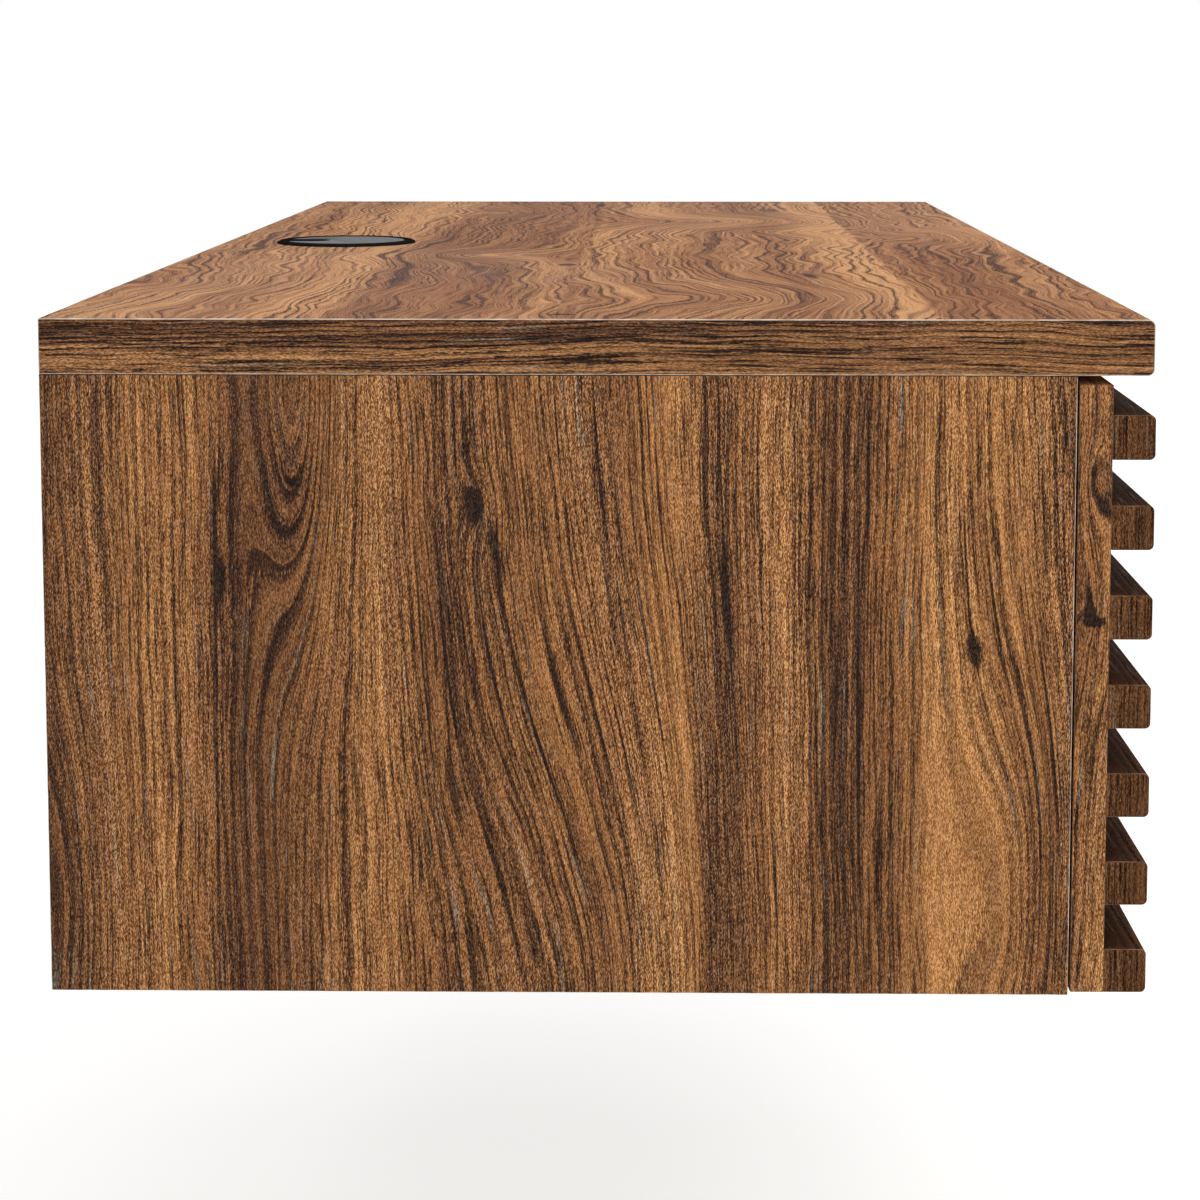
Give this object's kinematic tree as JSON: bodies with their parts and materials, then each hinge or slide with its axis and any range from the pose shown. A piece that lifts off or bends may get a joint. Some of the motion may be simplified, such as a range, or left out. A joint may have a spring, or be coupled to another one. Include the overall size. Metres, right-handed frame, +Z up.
{
  "type": "floating wall desk",
  "caption": "Wall-hung desk: a worktop with a cable grommet over slatted drawer pedestals and an open kneehole, carried by a wall rail.",
  "frame": {"origin": "centre of the wall rail's four screw holes, on the rail's rear face, which lies on the wall", "axes": "+Y into the wall, so -Y points at the sitter; +X along the desk to the sitter's right; +Z up"},
  "size_m": [1.003, 0.496, 0.3088],
  "materials": {
    "walnut": "satin walnut-print laminate",
    "slat_walnut": "satin dark walnut",
    "carcass_walnut": "satin walnut-print laminate",
    "drawer_box": "matt wood-print foil",
    "back_board": "matt printed hardboard",
    "runner_steel": "zinc-plated, satin",
    "cage_steel": "plain pressed steel",
    "ball_steel": "polished",
    "screw_steel": "zinc-plated",
    "zinc": "die-cast, satin",
    "beech": "bare beech",
    "bumper_rubber": "matt black",
    "grommet_plastic": "satin black",
    "cap_plastic": "satin black, fine texture"
  },
  "bodies": {
    "desk": {"worktop": "walnut", "wall_rail": "carcass_walnut", "outer_side_left": "walnut", "inner_side_left": "walnut", "pedestal_bottom_left": "carcass_walnut", "pedestal_back_left": "back_board", "cabinet_member_outer_left": "runner_steel", "cabinet_member_inner_left": "runner_steel", "outer_side_right": "walnut", "inner_side_right": "walnut", "pedestal_bottom_right": "carcass_walnut", "pedestal_back_right": "back_board", "cabinet_member_outer_right": "runner_steel", "cabinet_member_inner_right": "runner_steel", "grommet_liner": "grommet_plastic", "cam_locks": "zinc", "cam_bolts": "screw_steel", "dowels": "beech", "runner_screws": "screw_steel", "bumpers": "bumper_rubber"},
    "drawer_left": {"drawer_front_left": "walnut", "slat_1_left": "slat_walnut", "slat_2_left": "slat_walnut", "slat_3_left": "slat_walnut", "slat_4_left": "slat_walnut", "slat_5_left": "slat_walnut", "slat_6_left": "slat_walnut", "slat_7_left": "slat_walnut", "box_side_outer_left": "drawer_box", "box_side_inner_left": "drawer_box", "box_back_left": "drawer_box", "drawer_bottom_left": "back_board", "drawer_member_outer_left": "runner_steel", "drawer_member_inner_left": "runner_steel", "drawer_runner_screws_left": "screw_steel", "drawer_screws_left": "screw_steel"},
    "ball_cages_left": {"ball_cage_outer_left": "cage_steel", "ball_cage_inner_left": "cage_steel", "runner_balls_left": "ball_steel"},
    "drawer_right": {"drawer_front_right": "walnut", "slat_1_right": "slat_walnut", "slat_2_right": "slat_walnut", "slat_3_right": "slat_walnut", "slat_4_right": "slat_walnut", "slat_5_right": "slat_walnut", "slat_6_right": "slat_walnut", "slat_7_right": "slat_walnut", "box_side_outer_right": "drawer_box", "box_side_inner_right": "drawer_box", "box_back_right": "drawer_box", "drawer_bottom_right": "back_board", "drawer_member_outer_right": "runner_steel", "drawer_member_inner_right": "runner_steel", "drawer_runner_screws_right": "screw_steel", "drawer_screws_right": "screw_steel"},
    "ball_cages_right": {"ball_cage_outer_right": "cage_steel", "ball_cage_inner_right": "cage_steel", "runner_balls_right": "ball_steel"},
    "grommet_cap": {"grommet_cap": "cap_plastic"}
  },
  "joints": [
    {"name": "drawer_left_slide", "type": "slide", "parent": "desk", "child": "drawer_left", "axis": [0, -1, 0], "range_m": [0, 0.28]},
    {"name": "ball_cages_left_slide", "type": "slide", "parent": "desk", "child": "ball_cages_left", "axis": [0, -1, 0], "range_m": [0, 0.14]},
    {"name": "drawer_right_slide", "type": "slide", "parent": "desk", "child": "drawer_right", "axis": [0, -1, 0], "range_m": [0, 0.28]},
    {"name": "ball_cages_right_slide", "type": "slide", "parent": "desk", "child": "ball_cages_right", "axis": [0, -1, 0], "range_m": [0, 0.14]},
    {"name": "grommet_cap_lift", "type": "slide", "parent": "desk", "child": "grommet_cap", "axis": [0, 0, 1], "range_m": [0, 0.03]}
  ],
  "couplings": [
    {"joint": "ball_cages_left_slide", "follows": "drawer_left_slide", "ratio": 0.5},
    {"joint": "ball_cages_right_slide", "follows": "drawer_right_slide", "ratio": 0.5}
  ]
}
